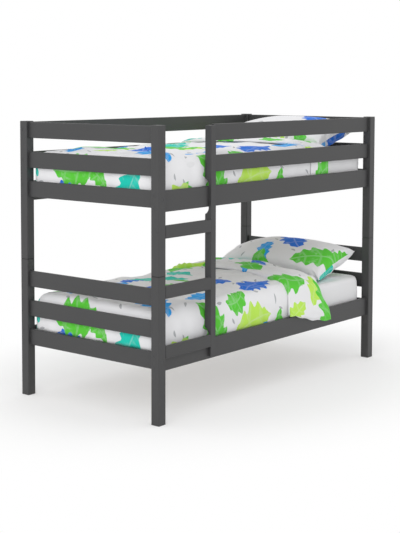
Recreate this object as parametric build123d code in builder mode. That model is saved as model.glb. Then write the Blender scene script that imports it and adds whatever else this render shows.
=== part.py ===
# Bunk bed: two single beds stacked post on post, a bolted ladder, slatted bases and bedding.
# Millimetres. X runs from the foot end to the pillow end, Y from the ladder side to the back
# and Z up. The origin is on the floor, under the middle of the bed.
from build123d import *
import os
from math import acos, cos, radians, sin

os.makedirs("parts", exist_ok=True)

# The mattress that the bed is made for, and the room round it
mattress_length = 1900
mattress_width = 900
mattress_thickness = 150
end_play = 5
side_play = 6

# Posts, in two halves that stack
post_size = 52
post_edge_ease = 3
post_end_chamfer = 1.5
half_height = 735
pin_diameter = 10
pin_length = 80
pin_play = 0.2
pin_end_room = 1

# Rails
rail_thickness = 18
rail_height = 85
side_rail_height = 105
rail_edge_ease = 2.5

# Heights of the rails in each bed, from that bed's own feet
lower_side_level = 262.5
upper_side_level = 311
lower_first_rail = 273
upper_first_rail = 332
low_rail_gap = 70
top_rail_gap = 73.5

# Stub tenons on the end rails
tenon_thickness = 10
tenon_shoulder = 12
tenon_length = 16
tenon_play = 0.15
tenon_end_room = 1

# Connector bolts through the posts into the side rails
bolt_diameter = 6
bolt_head_diameter = 15
bolt_head_thickness = 2
bolt_head_sink = 0.5
bolt_spacing = 62
bolt_reach = 40
bolt_play = 0.3
barrel_nut_diameter = 10
barrel_nut_length = 15
barrel_nut_inset = 30
barrel_nut_play = 0.1

# Screws through posts and stile into end grain
screw_diameter = 6
screw_reach = 45
screw_play = 0.2
thread_play = 0.1
rung_screw_diameter = 4.5
rung_screw_head = 9
rung_screw_reach = 40

# Ladder
entry_width = 350
stile_width = 40
stile_depth = 40
stile_top_drop = 6
stile_bottom_rise = 13.5
stile_edge_ease = 2
notch_play = 5
notch_headroom = 25
cove_radius = 36
rung_height = 64
rung_thickness = 17
rung_edge_ease = 3
first_rung_centre = 358
top_rung_drop = 96
rung_count = 3
stile_screw_diameter = 4
stile_screw_head = 8
stile_screw_head_thickness = 2
stile_screw_bite = 11
stile_screw_spacing = 50

# Slatted base
slat_count = 12
slat_width = 68
slat_thickness = 17
slat_end_play = 2
cleat_width = 25
cleat_height = 30
mattress_seat = 87.5
webbing_width = 35
webbing_thickness = 1
webbing_inset = 250
slat_screw_diameter = 3.5
slat_screw_head = 7
slat_screw_head_thickness = 2
slat_screw_length = 35

# Bedding
soft_gap = 0.3
stile_gap = 0.5
skirt_thickness = 7
mattress_corner_radius = 92
mattress_edge_radius = 26
duvet_span = 1488
lower_duvet_loft = 80
upper_duvet_loft = 50
shoulder_width = 62
hem_depth = 14
fold_nose = 30
flap_rise = 14
flap_side = 4
lower_flap_start = 1115
upper_flap_start = 1315
overhang_start = 1135
overhang_thickness = 11
overhang_rise = 70
overhang_drop = 72
pillow_width = 785
pillow_depth = 416
pillow_thickness = 160
pillow_draw = 12
pillow_seam = 5
pillow_tilt = 18
pillow_rail_gap = 22
pillow_edge_height = 16

# Overrun of every cut
cut = 5

# Bores and shanks repeat a hundred times, so they are drawn with few sides
shank_sides = 8
head_sides = 12

# Sizes that follow from these
rail_inset = (post_size - rail_thickness) / 2
clear_length = mattress_length + 2 * end_play
clear_width = mattress_width + 2 * side_play
bed_length = clear_length + 2 * (rail_thickness + rail_inset)
bed_width = clear_width + 2 * (rail_thickness + rail_inset)
post_x = (bed_length - post_size) / 2
post_y = (bed_width - post_size) / 2
post_inner_x = post_x - post_size / 2
post_inner_y = post_y - post_size / 2
rail_x = bed_length / 2 - rail_inset - rail_thickness / 2
rail_y = bed_width / 2 - rail_inset - rail_thickness / 2
stile_left = -post_inner_x + entry_width
stile_right = stile_left + stile_width
stile_x = (stile_left + stile_right) / 2
stile_back = -bed_width / 2 + stile_depth

base = {"lower": 0, "upper": half_height}
side_level = {"lower": lower_side_level, "upper": half_height + upper_side_level}
first_rail = {"lower": lower_first_rail, "upper": half_height + upper_first_rail}
end_sign = {"foot": -1, "head": 1}
side_sign = {"front": -1, "back": 1}


def rail_levels(tier):
    """Bottom edges of the three end rails of one bed."""
    first = first_rail[tier]
    second = first + rail_height + low_rail_gap
    third = second + rail_height + top_rail_gap
    return first, second, third


def side_bolt_heights(tier):
    """Centres of the two bolts at each end of a side rail."""
    middle = side_level[tier] + side_rail_height / 2
    return middle - bolt_spacing / 2, middle + bolt_spacing / 2


def facing(x, y, z, along):
    """Plane at a point, looking out along a direction."""
    return Plane(origin=(x, y, z), z_dir=along)


guard_levels = rail_levels("upper")[1:]
guard_heights = [level + rail_height / 2 for level in guard_levels]
rung_pitch = (side_level["upper"] - top_rung_drop - first_rung_centre) / (rung_count - 1)
rung_heights = [first_rung_centre + rung_pitch * step for step in range(rung_count)]
rung_y = -bed_width / 2 + rung_thickness / 2
corners = [(sx, sy) for sx in (-1, 1) for sy in (-1, 1)]
stile_screw_heights = {tier: [side_level[tier] + side_rail_height / 2 + sz * stile_screw_spacing / 2
                              for sz in (-1, 1)] for tier in base}


def guard_bolts(sx, sy):
    """Screw heights for the guard rails at one post; none where the entry gap is."""
    return [] if (sx, sy) == (-1, -1) else guard_heights


def save(builder, node):
    """Label a finished piece and write its STEP file."""
    builder.part.label = node
    export_step(builder.part, f"parts/{node}.step")


def rod(radius, length, sides=shank_sides):
    """Round rod that points down from the XY plane."""
    with BuildPart() as piece:
        with BuildSketch():
            RegularPolygon(radius, sides)
        extrude(amount=-length)
    return piece.part


def bore(radius, depth, head_radius=0, head_depth=0, sides=head_sides):
    """Cutter for a bore, with or without a counterbore, that points down from the XY plane."""
    with BuildPart() as cutter:
        with BuildSketch():
            RegularPolygon(radius, shank_sides, major_radius=False)
        extrude(amount=-depth)
        if head_radius:
            with BuildSketch():
                RegularPolygon(head_radius, sides, major_radius=False)
            extrude(amount=-head_depth)
    return cutter.part


def timber(plane, centre, width, height, ease, length):
    """Board or post with its long edges eased, drawn out from a plane."""
    with BuildPart() as board:
        with BuildSketch(plane):
            with Locations(centre):
                chamfer(Rectangle(width, height).vertices(), ease)
        extrude(amount=length)
    return board.part


head_bore_radius = bolt_head_diameter / 2 + bolt_play
head_bore_depth = bolt_head_thickness + bolt_head_sink
bolt_bore = bore(bolt_diameter / 2 + bolt_play, post_size + cut, head_bore_radius, head_bore_depth)
screw_bore = bore(screw_diameter / 2 + screw_play, post_size + cut, head_bore_radius, head_bore_depth)
rung_bore = bore(rung_screw_diameter / 2 + screw_play, post_size + cut,
                 rung_screw_head / 2 + screw_play, head_bore_depth)
end_pilot = bore(screw_diameter / 2 + thread_play, tenon_length + screw_reach + screw_play)
guard_pilot = bore(screw_diameter / 2 + thread_play, screw_reach + screw_play)
rung_pilot = bore(rung_screw_diameter / 2 + thread_play, rung_screw_reach + screw_play)

# Posts: eased square timber with a pin bore, mortises and bores for bolts and screws
mortise_depth = tenon_length + tenon_end_room
mortise_width = tenon_thickness + 2 * tenon_play
mortise_height = rail_height - 2 * tenon_shoulder + 2 * tenon_play
for tier in base:
    for end, sx in end_sign.items():
        for side, sy in side_sign.items():
            face_x = sx * bed_length / 2
            face_y = sy * bed_width / 2
            pin_up = 1 if tier == "lower" else -1
            mortise_y = sy * (post_inner_y + (mortise_depth - cut) / 2)
            screw_height = first_rail[tier] + rail_height / 2
            rungs_here = [z for z in rung_heights if base[tier] < z < base[tier] + half_height]
            with BuildPart() as post:
                add(timber(Plane.XY.offset(base[tier]), (sx * post_x, sy * post_y), post_size, post_size,
                           post_edge_ease, half_height))
                chamfer(post.faces().sort_by(Axis.Z)[0].edges(), post_end_chamfer)
                chamfer(post.faces().sort_by(Axis.Z)[-1].edges(), post_end_chamfer)
                with Locations(facing(sx * post_x, sy * post_y, half_height, (0, 0, pin_up))):
                    add(bore(pin_diameter / 2 + pin_play, pin_length / 2 + pin_end_room), mode=Mode.SUBTRACT)
                with Locations(*[(sx * post_x, mortise_y, z + rail_height / 2) for z in rail_levels(tier)]):
                    Box(mortise_width, mortise_depth + cut, mortise_height, mode=Mode.SUBTRACT)
                with Locations(*[facing(face_x, sy * post_y, z, (sx, 0, 0)) for z in side_bolt_heights(tier)]):
                    add(bolt_bore, mode=Mode.SUBTRACT)
                with Locations(facing(sx * post_x, face_y, screw_height, (0, sy, 0))):
                    add(screw_bore, mode=Mode.SUBTRACT)
                if tier == "upper":
                    with Locations(*[facing(face_x, sy * post_y, z, (sx, 0, 0)) for z in guard_bolts(sx, sy)]):
                        add(screw_bore, mode=Mode.SUBTRACT)
                if end == "foot" and side == "front":
                    with Locations(*[facing(face_x, rung_y, z, (sx, 0, 0)) for z in rungs_here]):
                        add(rung_bore, mode=Mode.SUBTRACT)
            save(post, f"{tier}_post_{side}_{end}")

with BuildPart() as pins:
    with Locations(*[(sx * post_x, sy * post_y, half_height + pin_length / 2) for sx, sy in corners]):
        add(rod(pin_diameter / 2, pin_length))
save(pins, "post_joint_pins")

# End rails: eased boards with a stub tenon at each end, the lowest bored for its screws
for tier in base:
    for end, sx in end_sign.items():
        for number, level in enumerate(rail_levels(tier), start=1):
            middle = level + rail_height / 2
            with BuildPart() as end_rail:
                add(timber(Plane.XZ.offset(-post_inner_y), (sx * rail_x, middle), rail_thickness, rail_height,
                           rail_edge_ease, 2 * post_inner_y))
                with Locations((sx * rail_x, 0, middle)):
                    Box(tenon_thickness, 2 * (post_inner_y + tenon_length), rail_height - 2 * tenon_shoulder)
                if number == 1:
                    with Locations(*[facing(sx * post_x, sy * (post_inner_y + tenon_length), middle, (0, sy, 0))
                                     for sy in (-1, 1)]):
                        add(end_pilot, mode=Mode.SUBTRACT)
            save(end_rail, f"{tier}_{end}_end_rail_{number}")

# Side rails: eased boards, bored at each end for bolts and barrel nuts
for tier in base:
    for side, sy in side_sign.items():
        inner_face = sy * (rail_y - rail_thickness / 2)
        heights = side_bolt_heights(tier)
        with BuildPart() as side_rail:
            add(timber(Plane.YZ.offset(-post_inner_x), (sy * rail_y, side_level[tier] + side_rail_height / 2),
                       rail_thickness, side_rail_height, rail_edge_ease, 2 * post_inner_x))
            with Locations(*[facing(sx * post_inner_x, sy * rail_y, z, (sx, 0, 0))
                             for sx in (-1, 1) for z in heights]):
                add(bore(bolt_diameter / 2 + bolt_play, bolt_reach + bolt_play), mode=Mode.SUBTRACT)
            with Locations(*[facing(sx * (post_inner_x - barrel_nut_inset), inner_face, z, (0, -sy, 0))
                             for sx in (-1, 1) for z in heights]):
                add(bore(barrel_nut_diameter / 2 + barrel_nut_play, barrel_nut_length + barrel_nut_play),
                    mode=Mode.SUBTRACT)
            if side == "front":
                with Locations(*[facing(stile_x, inner_face, z, (0, 1, 0)) for z in stile_screw_heights[tier]]):
                    add(bore(stile_screw_diameter / 2 + screw_play, rail_thickness + cut,
                             stile_screw_head / 2 + screw_play, stile_screw_head_thickness, shank_sides),
                        mode=Mode.SUBTRACT)
        save(side_rail, f"{tier}_side_rail_{side}")

# Guard rails: the front pair starts at the ladder stile, the back pair is full length
for side, sy in side_sign.items():
    start = stile_right if side == "front" else -post_inner_x
    for place, level in zip(("low", "top"), guard_levels):
        middle = level + rail_height / 2
        with BuildPart() as guard_rail:
            add(timber(Plane.YZ.offset(start), (sy * rail_y, middle), rail_thickness, rail_height,
                       rail_edge_ease, post_inner_x - start))
            with Locations(facing(start, sy * rail_y, middle, (-1, 0, 0)),
                           facing(post_inner_x, sy * rail_y, middle, (1, 0, 0))):
                add(guard_pilot, mode=Mode.SUBTRACT)
        save(guard_rail, f"guard_rail_{side}_{place}")

# Ladder stile: notched behind for both side rails, each notch ending in a cove
notch_depth = stile_depth - rail_inset
cove_turn = acos(1 - notch_depth / cove_radius)
cove_rise = cove_radius * sin(cove_turn)
notch_face = -bed_width / 2 + rail_inset
stile_front = -bed_width / 2
stile_bottom = side_level["lower"] + stile_bottom_rise
stile_top = guard_levels[-1] + rail_height - stile_top_drop
lower_notch_end = side_level["lower"] + side_rail_height + notch_headroom
upper_notch_start = side_level["upper"] - notch_play
upper_notch_end = side_level["upper"] + side_rail_height + notch_play


def cove(z, direction):
    """Three points of the arc from the notch face out to the stile's back edge."""
    half = cove_turn / 2
    middle = (notch_face + cove_radius * (1 - cos(half)), z + direction * cove_radius * sin(half))
    return (notch_face, z), middle, (stile_back, z + direction * cove_rise)


with BuildPart() as stile:
    with BuildSketch(Plane.YZ.offset(stile_left)):
        with BuildLine():
            upper_top = ThreePointArc(*cove(upper_notch_end, 1))
            upper_bottom = ThreePointArc(*cove(upper_notch_start, -1))
            lower_top = ThreePointArc(*cove(lower_notch_end, 1))
            Line((notch_face, upper_notch_end), (notch_face, upper_notch_start))
            Line(upper_bottom @ 1, lower_top @ 1)
            Polyline((notch_face, lower_notch_end), (notch_face, stile_bottom), (stile_front, stile_bottom),
                     (stile_front, stile_top), (stile_back, stile_top), upper_top @ 1)
        make_face()
    extrude(amount=stile_width)
    chamfer(stile.faces().sort_by(Axis.Z)[-1].edges(), stile_edge_ease)
    chamfer(stile.edges().filter_by(Axis.Z).group_by(Axis.Y)[0], stile_edge_ease)
    with Locations(*[facing(stile_left, -rail_y, z, (-1, 0, 0)) for z in guard_heights]):
        add(screw_bore, mode=Mode.SUBTRACT)
    with Locations(*[facing(stile_right, rung_y, z, (1, 0, 0)) for z in rung_heights]):
        add(rung_bore, mode=Mode.SUBTRACT)
    for tier in base:
        with Locations(*[facing(stile_x, notch_face, z, (0, 1, 0)) for z in stile_screw_heights[tier]]):
            add(bore(stile_screw_diameter / 2 + thread_play, stile_screw_bite + thread_play), mode=Mode.SUBTRACT)
save(stile, "ladder_stile")

# Rungs: flat treads set flush with the front of the post and stile
for number, z in enumerate(rung_heights, start=1):
    with BuildPart() as rung:
        add(timber(Plane.YZ.offset(-post_inner_x), (rung_y, z), rung_thickness, rung_height, rung_edge_ease,
                   entry_width))
        with Locations(facing(-post_inner_x, rung_y, z, (-1, 0, 0)), facing(stile_left, rung_y, z, (1, 0, 0))):
            add(rung_pilot, mode=Mode.SUBTRACT)
    save(rung, f"ladder_rung_{number}")

# Slatted bases: cleats on the side rails, slats, webbing tapes
slat_pitch = (clear_length - slat_width) / slat_count
slat_half_span = slat_pitch * (slat_count - 1) / 2
slat_length = clear_width - 2 * slat_end_play
webbing_y = clear_width / 2 - webbing_inset
cleat_y = (clear_width - cleat_width) / 2
slat_top = {tier: side_level[tier] + mattress_seat - webbing_thickness for tier in base}
slat_screw_places = [(sx * slat_half_span, sy * cleat_y, slat_top[tier]) for tier in base for sx, sy in corners]
for tier in base:
    cleat_top = slat_top[tier] - slat_thickness
    for side, sy in side_sign.items():
        with BuildPart() as cleat:
            with Locations((0, sy * cleat_y, cleat_top - cleat_height / 2)):
                Box(2 * post_inner_x, cleat_width, cleat_height)
            with Locations(*slat_screw_places):
                add(bore(slat_screw_diameter / 2 + thread_play, slat_screw_length + thread_play),
                    mode=Mode.SUBTRACT)
        save(cleat, f"{tier}_slat_cleat_{side}")
    with BuildPart() as slats:
        with Locations((0, 0, slat_top[tier] - slat_thickness / 2)):
            with GridLocations(slat_pitch, 0, slat_count, 1):
                Box(slat_width, slat_length, slat_thickness)
        with Locations(*slat_screw_places):
            add(bore(slat_screw_diameter / 2 + thread_play, slat_screw_length, slat_screw_head / 2 + screw_play,
                     slat_screw_head_thickness, shank_sides), mode=Mode.SUBTRACT)
    save(slats, f"{tier}_slats")
    with BuildPart() as webbing:
        with Locations((0, 0, slat_top[tier] + webbing_thickness / 2)):
            with GridLocations(0, 2 * webbing_y, 1, 2):
                Box(2 * slat_half_span + slat_width, webbing_width, webbing_thickness)
    save(webbing, f"{tier}_slat_webbing")

# Fasteners, each made once with the top of its head in the XY plane and set where it belongs
def headed(radius, head_radius, length):
    """Bolt or screw with a flat head, pointing down."""
    with BuildPart() as fastener:
        add(rod(head_radius, bolt_head_thickness, head_sides))
        add(rod(radius, length))
    return fastener.part


def sunk(planes):
    """Seats of bolt heads, a little below the outer faces."""
    return [plane.offset(-bolt_head_sink) for plane in planes]


def nut_blank():
    """Barrel nut, cross-bored for its bolt."""
    with BuildPart() as nut:
        add(rod(barrel_nut_diameter / 2, barrel_nut_length))
        with Locations(facing(0, barrel_nut_diameter, -rail_thickness / 2, (0, 1, 0))):
            add(bore(bolt_diameter / 2 + thread_play, 2 * barrel_nut_diameter), mode=Mode.SUBTRACT)
    return nut.part


with BuildPart() as bolts:
    with Locations(*sunk([facing(sx * bed_length / 2, sy * post_y, z, (sx, 0, 0))
                          for sx, sy in corners for tier in base for z in side_bolt_heights(tier)])):
        add(headed(bolt_diameter / 2, bolt_head_diameter / 2, post_size + bolt_reach - bolt_head_sink))
save(bolts, "side_rail_bolts")

with BuildPart() as nuts:
    nut_face = rail_y - rail_thickness / 2
    with Locations(*[Plane(origin=(sx * (post_inner_x - barrel_nut_inset), sy * nut_face, z),
                           x_dir=(0, 0, 1), z_dir=(0, -sy, 0))
                     for sx, sy in corners for tier in base for z in side_bolt_heights(tier)]):
        add(nut_blank())
save(nuts, "side_rail_barrel_nuts")

with BuildPart() as end_screws:
    with Locations(*sunk([facing(sx * post_x, sy * bed_width / 2, first_rail[tier] + rail_height / 2, (0, sy, 0))
                          for sx, sy in corners for tier in base])):
        add(headed(screw_diameter / 2, bolt_head_diameter / 2, post_size + screw_reach - bolt_head_sink))
save(end_screws, "end_rail_screws")

with BuildPart() as guard_screws:
    with Locations(*sunk([facing(sx * bed_length / 2, sy * post_y, z, (sx, 0, 0))
                          for sx, sy in corners for z in guard_bolts(sx, sy)])):
        add(headed(screw_diameter / 2, bolt_head_diameter / 2, post_size + screw_reach - bolt_head_sink))
    with Locations(*sunk([facing(stile_left, -rail_y, z, (-1, 0, 0)) for z in guard_heights])):
        add(headed(screw_diameter / 2, bolt_head_diameter / 2, stile_width + screw_reach - bolt_head_sink))
save(guard_screws, "guard_rail_screws")

with BuildPart() as rung_screws:
    with Locations(*sunk([facing(-bed_length / 2, rung_y, z, (-1, 0, 0)) for z in rung_heights])):
        add(headed(rung_screw_diameter / 2, rung_screw_head / 2, post_size + rung_screw_reach - bolt_head_sink))
    with Locations(*sunk([facing(stile_right, rung_y, z, (1, 0, 0)) for z in rung_heights])):
        add(headed(rung_screw_diameter / 2, rung_screw_head / 2,
                   stile_width + rung_screw_reach - bolt_head_sink))
save(rung_screws, "rung_screws")

with BuildPart() as stile_screws:
    with Locations(*[facing(stile_x, -clear_width / 2, z, (0, 1, 0))
                     for tier in base for z in stile_screw_heights[tier]]):
        add(rod(stile_screw_head / 2, stile_screw_head_thickness))
        add(rod(stile_screw_diameter / 2, rail_thickness + stile_screw_bite))
save(stile_screws, "stile_screws")

with BuildPart() as slat_screws:
    with Locations(*slat_screw_places):
        add(rod(slat_screw_head / 2, slat_screw_head_thickness))
        add(rod(slat_screw_diameter / 2, slat_screw_length))
save(slat_screws, "slat_screws")

# Mattresses: rounded corners and soft edges, pressed in a little by the tucked bedding
bedding_half_width = -stile_back - stile_gap
bedding_half_length = clear_length / 2 - stile_gap
mattress_half_width = bedding_half_width - skirt_thickness - soft_gap
mattress_half_length = bedding_half_length - skirt_thickness - soft_gap
mattress_bottom = {tier: side_level[tier] + mattress_seat + soft_gap for tier in base}
mattress_top = {tier: mattress_bottom[tier] + mattress_thickness for tier in base}
edge_inset_shares = (0.45, 0, 0, 0.3, 1)
edge_height_shares = (0, 0.1, 0.83, 0.95, 1)


def mattress_block(tier, grow):
    """Mattress shape, its edges rounded in steps, grown by a gap on every side but the bottom."""
    with BuildPart() as block:
        for inset_share, height_share in zip(edge_inset_shares, edge_height_shares):
            inset = inset_share * mattress_edge_radius - grow
            with BuildSketch(Plane.XY.offset(mattress_bottom[tier] + height_share * (mattress_thickness + grow))):
                RectangleRounded(2 * (mattress_half_length - inset), 2 * (mattress_half_width - inset),
                                 mattress_corner_radius - inset)
        loft(ruled=True)
    return block


for tier in base:
    save(mattress_block(tier, 0), f"{tier}_mattress")

# Duvets: a lofted cover tucked round the mattress, its end turned back on itself
cover_corner = mattress_corner_radius + soft_gap + skirt_thickness
cover_start = -bedding_half_length
fold_x = cover_start + duvet_span
crown_share = 0.07
shoulder_share = 0.42
foot_turns = (0, 30, 60, 90)
foot_lift_shares = (-0.3, 0.25, 0.72, 0.92)
run_shares = (0.2, 0.45, 0.7, 1)
run_lift_shares = (1, 0.93, 1, 0.97)
nose_shares = (0, 0.7, 1)
nose_lift_shares = (1, 0.7, 0.1)
duvet_loft = {"lower": lower_duvet_loft, "upper": upper_duvet_loft}
flap_start = {"lower": cover_start + lower_flap_start, "upper": cover_start + upper_flap_start}
rail_top = {tier: side_level[tier] + side_rail_height for tier in base}
hem_level = {tier: rail_top[tier] - hem_depth for tier in base}


def cover_outline(x, half_width, crown, hem):
    """Section across the bed: upright sides, round shoulders, crowned top."""
    edge = crown - crown_share * (crown - hem)
    spring = edge - shoulder_share * (edge - hem)
    inner = half_width - shoulder_width
    with BuildSketch(Plane.YZ.offset(x)) as outline:
        with BuildLine():
            for sy in (-1, 1):
                Line((sy * half_width, hem), (sy * half_width, spring))
                TangentArc((sy * half_width, spring), (sy * inner, edge), tangent=(0, 1))
            ThreePointArc((-inner, edge), (0, crown), (inner, edge))
            Line((-half_width, hem), (half_width, hem))
        make_face()
    return outline.sketch


def cover_sections(tier):
    """Sections from the rounded foot end to the fold."""
    top, hem = mattress_top[tier], hem_level[tier]
    sections = []
    for turn, lift in zip(foot_turns, foot_lift_shares):
        x = cover_start + cover_corner * (1 - cos(radians(turn)))
        half_width = bedding_half_width - cover_corner * (1 - sin(radians(turn)))
        sections.append(cover_outline(x, half_width, top + lift * duvet_loft[tier], hem))
    run_start = cover_start + cover_corner
    for share, lift in zip(run_shares, run_lift_shares):
        x = run_start + share * (fold_x - fold_nose - run_start)
        sections.append(cover_outline(x, bedding_half_width, top + lift * duvet_loft[tier], hem))
    return sections


def flap_sections(tier):
    """Sections of the turned-back layer, from its hem to the nose of the fold."""
    top, hem = mattress_top[tier], hem_level[tier]
    height = duvet_loft[tier] + flap_rise
    half_width = bedding_half_width + flap_side
    sections = [cover_outline(flap_start[tier], half_width, top + height, hem)]
    for share, lift in zip(nose_shares, nose_lift_shares):
        sections.append(cover_outline(fold_x - fold_nose * (1 - share), half_width, top + lift * height, hem))
    return sections


# The lower flap hangs over the front side rail, deeper towards the fold
overhang_run_shares = (0, 0.15, 0.55, 1)
overhang_drop_shares = (0.06, 0.12, 0.75, 1)
overhang_seat = rail_top["lower"] + soft_gap
overhang_inner = bed_width / 2 - rail_inset + soft_gap
overhang_outer = overhang_inner + overhang_thickness
overhang_root = bedding_half_width - skirt_thickness / 2


def overhang_outline(x, drop):
    """Section of the hanging end: over the rail's top edge and down its face."""
    with BuildSketch(Plane.YZ.offset(x)) as outline:
        with BuildLine():
            Polyline((-overhang_root, overhang_seat + overhang_rise), (-overhang_root, overhang_seat),
                     (-overhang_inner, overhang_seat), (-overhang_inner, overhang_seat - drop),
                     (-overhang_outer, overhang_seat - drop),
                     (-overhang_outer, overhang_seat + overhang_thickness))
            TangentArc((-overhang_outer, overhang_seat + overhang_thickness),
                       (-overhang_root, overhang_seat + overhang_rise), tangent=(0, 1))
        make_face()
    return outline.sketch


overhang_x = cover_start + overhang_start
with BuildPart() as overhang:
    loft(sections=[overhang_outline(overhang_x + share * (fold_x - overhang_x), drop * overhang_drop)
                   for share, drop in zip(overhang_run_shares, overhang_drop_shares)], ruled=True)

for tier in base:
    with BuildPart() as flap:
        loft(sections=flap_sections(tier), ruled=True)
    with BuildPart() as duvet:
        loft(sections=cover_sections(tier), ruled=True)
        add(flap.part)
        add(mattress_block(tier, soft_gap).part, mode=Mode.SUBTRACT)
        if tier == "lower":
            add(overhang.part)
    save(duvet, f"{tier}_duvet")

# Pillows: plump in the middle, thin at the seam, sides drawn in between the corners
level_shares = (1, 0.96, 0.86, 0.68, 0.42)
plump_power = 2.2
side_steps = (-1, -0.5, 0, 0.5)
pillow_top_share = 0.53
lean = radians(pillow_tilt)
pillow_x = clear_length / 2 - pillow_rail_gap - pillow_depth / 2 * cos(lean)


def pillow_ring(share, height):
    """Corners of a pillow at one level: the seam's outline, smaller as it rises or sinks from the seam."""
    half_x = share * pillow_depth / 2
    half_y = share * pillow_width / 2
    points = []
    for nx, ny in ((1, 0), (0, 1), (-1, 0), (0, -1)):
        for step in side_steps:
            drawn = share * pillow_draw * (1 - step ** 2)
            points.append((nx * (half_x - drawn) - ny * half_x * step, ny * (half_y - drawn) + nx * half_y * step,
                           height))
    return points


def pillow_levels():
    """Shares and heights of the levels, from the underside up."""
    rises = [(1 - share ** plump_power) ** 0.5 * (pillow_thickness - pillow_seam) for share in level_shares]
    below = [(share, -pillow_seam / 2 - rise * (1 - pillow_top_share)) for share, rise in zip(level_shares, rises)]
    above = [(share, pillow_seam / 2 + rise * pillow_top_share) for share, rise in zip(level_shares, rises)]
    return below[::-1] + above


def flat_facets(rings):
    """Flat faces between each ring of corners and the next, and one over each end."""
    facets = [Face(Wire.make_polygon(rings[0])), Face(Wire.make_polygon(rings[-1]))]
    for low, high in zip(rings, rings[1:]):
        for near in range(len(low)):
            facets.append(Face(Wire.make_polygon([low[near - 1], low[near], high[near], high[near - 1]])))
    return facets


with BuildPart() as flat_pillow:
    add(Solid(Shell(flat_facets([pillow_ring(share, height) for share, height in pillow_levels()]))))

for tier in base:
    top = mattress_top[tier]
    centre = (pillow_x, 0, top + pillow_edge_height + pillow_depth / 2 * sin(lean))
    with BuildPart() as pillow:
        with Locations(Plane(origin=centre, x_dir=(cos(lean), 0, sin(lean)), z_dir=(-sin(lean), 0, cos(lean)))):
            add(flat_pillow.part)
        with Locations((pillow_x, 0, top + soft_gap)):
            Box(2 * pillow_depth, 2 * pillow_width, pillow_thickness,
                align=(Align.CENTER, Align.CENTER, Align.MAX), mode=Mode.SUBTRACT)
    save(pillow, f"{tier}_pillow")
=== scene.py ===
# Bunk bed: finishes, bedding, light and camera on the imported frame. Metres, Z up.
import math
import bmesh
import bpy
import numpy as np
from mathutils import Matrix, Vector


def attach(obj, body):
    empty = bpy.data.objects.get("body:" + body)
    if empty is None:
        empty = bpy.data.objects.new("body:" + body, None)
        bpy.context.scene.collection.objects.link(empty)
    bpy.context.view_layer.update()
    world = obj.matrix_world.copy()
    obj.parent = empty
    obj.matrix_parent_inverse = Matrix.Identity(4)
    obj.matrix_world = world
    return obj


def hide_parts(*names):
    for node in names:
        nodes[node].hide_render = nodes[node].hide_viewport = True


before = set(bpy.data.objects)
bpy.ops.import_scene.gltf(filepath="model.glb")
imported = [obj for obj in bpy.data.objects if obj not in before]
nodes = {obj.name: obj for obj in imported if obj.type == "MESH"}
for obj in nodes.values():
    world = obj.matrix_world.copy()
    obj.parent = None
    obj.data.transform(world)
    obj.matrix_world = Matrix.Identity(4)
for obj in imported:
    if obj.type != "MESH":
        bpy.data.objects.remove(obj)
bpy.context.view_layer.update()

scene = bpy.context.scene
scene.view_settings.view_transform = "Standard"


camera = {"place": (-5.3496, -4.3271, 1.6823), "yaw": 39.394, "pitch": -4.0, "roll": 0.112,
          "lens": 109.06, "sensor": 36, "shift": -0.2517, "far": 100}


def setCamera():
    data = bpy.data.cameras.new("viewCamera")
    data.sensor_fit = "HORIZONTAL"
    data.sensor_width = camera["sensor"]
    data.lens = camera["lens"]
    data.shift_y = camera["shift"]
    data.clip_end = camera["far"]
    eye = bpy.data.objects.new("viewCamera", data)
    scene.collection.objects.link(eye)
    eye.matrix_world = (Matrix.Translation(camera["place"])
                        @ Matrix.Rotation(math.radians(camera["yaw"] - 90), 4, "Z")
                        @ Matrix.Rotation(math.radians(90 + camera["pitch"]), 4, "X")
                        @ Matrix.Rotation(math.radians(camera["roll"]), 4, "Z"))
    scene.camera = eye


setCamera()
print("camera set")


class Flow:
    # one output socket that can be added, scaled and compared
    def __init__(self, finish, socket):
        self.finish = finish
        self.socket = socket

    def math(self, operation, *others):
        return self.finish.node("ShaderNodeMath", {"operation": operation}, [self, *others])

    def __add__(self, other):
        return self.math("ADD", other)

    def __sub__(self, other):
        return self.math("SUBTRACT", other)

    def __rsub__(self, other):
        return self.finish.node("ShaderNodeMath", {"operation": "SUBTRACT"}, [other, self])

    def __mul__(self, other):
        return self.math("MULTIPLY", other)

    def __truediv__(self, other):
        return self.math("DIVIDE", other)

    # a sum or a product is the same from either side
    __radd__, __rmul__ = __add__, __mul__

    def high(self, other):
        return self.math("MAXIMUM", other)

    def size(self):
        return self.math("ABSOLUTE")

    def step(self, start, end):
        # eased 0 to 1 between two values, in either order
        found = self.finish.node("ShaderNodeMapRange", {"interpolation_type": "SMOOTHSTEP"},
                                 {"Value": self, "From Min": min(start, end), "From Max": max(start, end)})
        return 1 - found if start > end else found


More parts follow.
